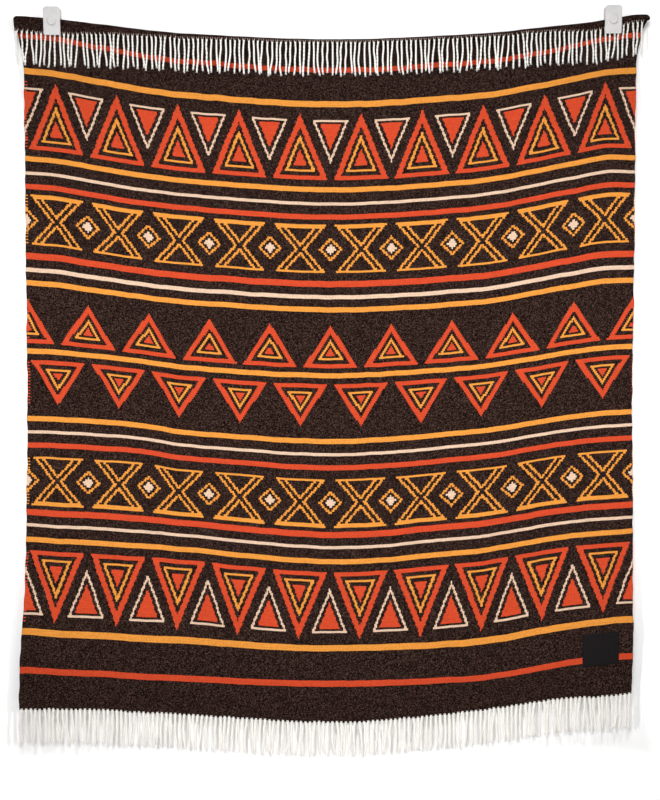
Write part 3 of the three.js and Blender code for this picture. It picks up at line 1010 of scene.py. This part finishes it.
def stitch_piece(finish):
    half_width, half_height = PATCH_WIDTH / 2 - STITCH_INSET, PATCH_HEIGHT / 2 - STITCH_INSET
    corners = [(-1, -1), (1, -1), (1, 1), (-1, 1), (-1, -1)]
    share = np.linspace(-0.5, 0.5, STITCH_RINGS)
    arch = STITCH_RADIUS * np.cos(share * np.pi) + PATCH_THICKNESS - SEAM_DEPTH
    lift = (CLOTH_THICKNESS / 2 + arch)[:, None]
    lines = []
    for (x0, z0), (x1, z1) in zip(corners, corners[1:]):
        start = np.array([x0 * half_width, z0 * half_height])
        end = np.array([x1 * half_width, z1 * half_height])
        run = np.linalg.norm(end - start)
        count = round(run / STITCH_PITCH)
        for k in range(count):
            middle = (k + 0.5) / count
            reach = share * STITCH_LENGTH / run
            place = start + (end - start) * (middle + reach)[:, None]
            x, down = PATCH_X + place[:, 0], PATCH_DOWN + place[:, 1]
            lines.append(hanging_point(x, down) - lift * hanging_normal(x, down))
    lines = np.stack(lines)
    radii = np.broadcast_to(STITCH_RADIUS * np.array(STITCH_TAPER), lines.shape[:2])
    shape = Shape()
    tubes(shape, lines, radii, PLY_SIDES)
    return shape.piece("patch_stitching", finish, "patch")


def on_jaw(points, clip):
    """Points of a clip's jaw, which leans out from its lower back edge, turned and moved into place."""
    _, x, z = clip
    right, back, up = np.moveaxis(points, -1, 0)
    up = up + CLIP_HEIGHT / 2
    y = -JAW_BACK + back * math.cos(JAW_TILT) - up * math.sin(JAW_TILT)
    height = z - CLIP_HEIGHT / 2 + back * math.sin(JAW_TILT) + up * math.cos(JAW_TILT)
    return np.stack([x + right, y, height], -1)


def plate_outline(inset):
    """Points round a clip's plate, drawn in by the inset, as right and up, from the lower right corner."""
    right, up = CLIP_WIDTH / 2, CLIP_HEIGHT / 2
    top, bottom = CLIP_CORNERS
    quarter = np.linspace(0, np.pi / 2, CORNER_STEPS)
    points = []
    corners = [(-1, 1, -1, bottom), (0, 1, 1, top), (1, -1, 1, top), (2, -1, -1, bottom)]
    for turns, side, level, radius in corners:
        turn = turns * np.pi / 2 + quarter
        reach = max(radius - inset, LEAST_CORNER)
        middle = (side * (right - radius), level * (up - radius))
        points.append(middle + reach * np.stack([np.cos(turn), np.sin(turn)], -1))
    return np.concatenate(points)


def jaw_piece(clip, finish):
    """The front plate of a clip, with filleted edges."""
    turn = np.linspace(0, np.pi / 2, FILLET_STEPS + 1)
    insets = CLIP_FILLET * (1 - np.sin(turn))
    backs = -CLIP_FILLET * (1 - np.cos(turn))
    insets = np.concatenate([[FLAT_INSET], insets, insets[::-1], [FLAT_INSET]])
    backs = np.concatenate([[0], backs, -CLIP_PLATE - backs[::-1], [-CLIP_PLATE]])
    rings = []
    for inset, back in zip(insets, backs):
        outline = plate_outline(inset)
        rings.append(np.insert(outline, 1, back, axis=1))
    rings = np.stack(rings)
    shape = Shape()
    index = shape.add_points(on_jaw(rings, clip))
    closed = np.concatenate([index, index[:, :1]], 1)
    around = np.linspace(0, 1, closed.shape[1])
    shape.add_quads(closed, around, np.linspace(JAW_MAP_RIM, 1, len(rings))[:, None], flip=True)
    u = JAW_MAP_SIZE[0] * rings[-1:, :, 0] / CLIP_WIDTH
    v = JAW_MAP_SIZE[1] * rings[-1:, :, 2] / CLIP_HEIGHT + JAW_MAP_UP
    shape.add_caps(index[-1:], JAW_MAP_ACROSS[0] + u, v)
    shape.add_caps(index[:1, ::-1], JAW_MAP_ACROSS[1] + u[:, ::-1], v[:, ::-1])
    return shape.piece(f"{clip[0]}_jaw", finish, "clip")


def boss_piece(clip, finish):
    """The round boss on a jaw, slightly hollow in the middle."""
    turn = 2 * np.pi * np.arange(BOSS_SIDES) / BOSS_SIDES
    radius, height = np.array(BOSS).T[:, :, None]
    ring = (radius * np.cos(turn), -CLIP_PLATE - height, radius * np.sin(turn))
    rings = np.stack(np.broadcast_arrays(*ring), -1)
    shape = Shape()
    index = shape.add_points(on_jaw(rings, clip))
    closed = np.concatenate([index, index[:, :1]], 1)
    around = np.linspace(0, 1, BOSS_SIDES + 1)
    shape.add_quads(closed, around, np.linspace(0, 1, len(BOSS))[:, None], flip=True)
    shape.add_caps(index[-1:], 0, 1)
    shape.add_caps(index[:1, ::-1], 0, 0)
    return shape.piece(f"{clip[0]}_boss", finish, "clip")


# The whole part
cloth = blanket_piece(cloth_finish())
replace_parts(cloth, "blanket")
yarn = yarn_finish()
top_fringe = fringe_piece("top", yarn)
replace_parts(top_fringe, "fringe_top")
bottom_fringe = fringe_piece("bottom", yarn)
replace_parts(bottom_fringe, "fringe_bottom")
patch = patch_piece(twill_finish("patch_twill", "patch", "patch light"))
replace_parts(patch, "sewn_patch")
stitching = stitch_piece(twill_finish("patch_thread", "thread", "patch light"))

plastic = plastic_finish()
for name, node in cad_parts.items():
    if name.startswith("clip_"):
        node.data.materials.clear()
        node.data.materials.append(plastic)
for clip in CLIPS:
    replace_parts(jaw_piece(clip, plastic), f"clip_{clip[0]}_jaw")
    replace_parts(boss_piece(clip, plastic), f"clip_{clip[0]}_button")


# Stage
def stage_plane(name, corners, colour):
    mesh = bpy.data.meshes.new(name)
    mesh.from_pydata(corners, [], [(0, 1, 2, 3)])
    f = Finish(name, Roughness=0.9, Specular_IOR_Level=0.0, Base_Color=linear(colour))
    mesh.materials.append(f.material)
    made = bpy.data.objects.new(name, mesh)
    bpy.context.scene.collection.objects.link(made)
    return made, f


def glow_around(f):
    """Gives a wall light of its own, away from the blanket."""
    place = f.node("SeparateXYZ", {"Vector": f.node("TexCoord").outputs["Object"]})
    x, _, z = place.outputs
    beside = f.ramp(f.math("ABSOLUTE", x), *GLOW_BESIDE)
    below = f.ramp(z, *GLOW_BELOW)
    above = f.ramp(z, *GLOW_ABOVE)
    glow = f.math("MULTIPLY", f.most([beside, below, above]), WALL_GLOW)
    f.put(linear("wall"), f.surface.inputs["Emission Color"])
    f.put(glow, f.surface.inputs["Emission Strength"])


def show_front_only(f):
    """Makes a surface see-through from behind."""
    behind = f.node("NewGeometry").outputs["Backfacing"]
    either = f.node("MixShader")
    f.put(behind, either.inputs[0])
    f.put(f.surface.outputs[0], either.inputs[1])
    f.put(f.node("BsdfTransparent").outputs[0], either.inputs[2])
    f.put(either.outputs[0], f.tree.nodes["Material Output"].inputs["Surface"])


wall, wall_finish = stage_plane(
    "wall",
    [
        (-STAGE_HALF, WALL_Y, FLOOR_Z),
        (STAGE_HALF, WALL_Y, FLOOR_Z),
        (STAGE_HALF, WALL_Y, STAGE_HALF),
        (-STAGE_HALF, WALL_Y, STAGE_HALF),
    ],
    "wall",
)
glow_around(wall_finish)
show_front_only(wall_finish)
wall.visible_shadow = False
wall.visible_diffuse = False
wall.visible_glossy = False
_, floor_finish = stage_plane(
    "floor",
    [
        (-STAGE_HALF, -STAGE_HALF, FLOOR_Z),
        (STAGE_HALF, -STAGE_HALF, FLOOR_Z),
        (STAGE_HALF, STAGE_HALF, FLOOR_Z),
        (-STAGE_HALF, STAGE_HALF, FLOOR_Z),
    ],
    "floor",
)
floor_finish.put(linear("floor"), floor_finish.surface.inputs["Emission Color"])
floor_finish.put(FLOOR_GLOW, floor_finish.surface.inputs["Emission Strength"])

# Light
scene = bpy.context.scene
scene.view_settings.view_transform = "Standard"
world = bpy.data.worlds.new("surround")
scene.world = world
world.use_nodes = True
sky = world.node_tree
seen = sky.nodes.new("ShaderNodeLightPath").outputs["Is Camera Ray"]
strength = sky.nodes.new("ShaderNodeMapRange")
strength.inputs["To Min"].default_value = SURROUND
strength.inputs["To Max"].default_value = BACKDROP
sky.links.new(seen, strength.inputs["Value"])
sky.links.new(strength.outputs[0], sky.nodes["Background"].inputs["Strength"])
sky.nodes["Background"].inputs["Color"].default_value = (1, 1, 1, 1)


def aimed(data, at, aim):
    """Places a light or camera at a point, turned to face another."""
    made = bpy.data.objects.new(data.name, data)
    scene.collection.objects.link(made)
    made.location = at
    towards = Vector(aim) - Vector(at)
    made.rotation_euler = towards.to_track_quat("-Z", "Y").to_euler()
    return made


for side, sign in (("left", -1), ("right", 1)):
    side_data = bpy.data.lights.new(side + "_light", "SPOT")
    side_data.energy = SIDE_POWER
    side_data.shadow_soft_size = SIDE_RADIUS
    side_data.spot_size = SIDE_CONE
    side_data.spot_blend = 1.0
    aimed(side_data, (sign * SIDE_AT[0], *SIDE_AT[1:]), LIGHT_AIM)
for name, power, at in (("lamp", LAMP_POWER, LAMP_AT), ("rear_lamp", REAR_POWER, REAR_AT)):
    lamp_data = bpy.data.lights.new(name, "AREA")
    lamp_data.energy = power
    lamp_data.size = LAMP_SIZE
    aimed(lamp_data, at, LIGHT_AIM)

# Camera
camera_data = bpy.data.cameras.new("camera")
camera_data.sensor_width = SENSOR
camera_data.lens = SENSOR * PICTURE_DEPTH / PICTURE_HEIGHT
scene.camera = aimed(camera_data, CAMERA_AT, (CAMERA_AT[0], 0.0, CAMERA_AT[2]))
